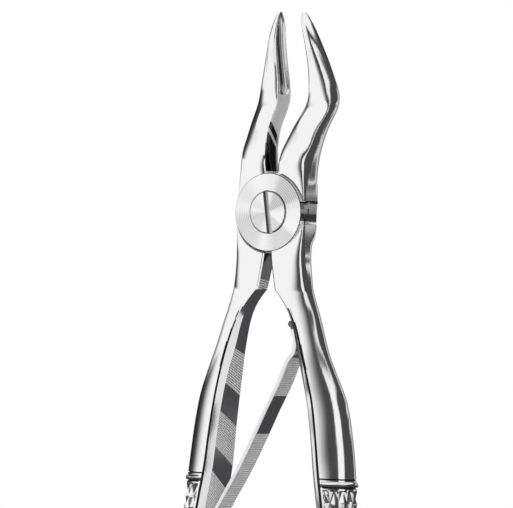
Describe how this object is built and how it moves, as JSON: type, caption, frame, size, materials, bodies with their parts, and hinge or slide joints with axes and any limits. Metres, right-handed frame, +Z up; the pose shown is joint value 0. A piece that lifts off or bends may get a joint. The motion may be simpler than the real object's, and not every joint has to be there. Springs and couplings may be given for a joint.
{
  "type": "dental extraction forceps",
  "caption": "Spring-handled dental forceps with slender bayonet beaks, a lapped screw joint, a leaf spring between the handles and chequered grips.",
  "frame": {"origin": "on the pivot's axis, in the middle of the joint's flat rear face", "axes": "+Z up to the beak tips, +Y to the rear, away from the screw's head, +X to the right as seen from the screw's side"},
  "size_m": [0.0414, 0.0135, 0.1282],
  "materials": {
    "polished_steel": "mirror-polished forged stainless steel",
    "turned_steel": "turned and lightly polished stainless steel",
    "spring_steel": "ground and tempered spring steel"
  },
  "bodies": {
    "rear_lever": {"rear_half": "polished_steel", "joint_screw": "turned_steel", "leaf_spring": "spring_steel", "spring_screw": "turned_steel"},
    "front_lever": {"front_half": "polished_steel"}
  },
  "joints": [
    {"name": "pivot", "type": "hinge", "parent": "rear_lever", "child": "front_lever", "pos_m": [0, -0.00275, 0], "axis": [0, -1, 0], "range_deg": [-7.3, 18], "stiffness_Nm_per_rad": 1.2, "deforming": ["leaf_spring"]}
  ]
}
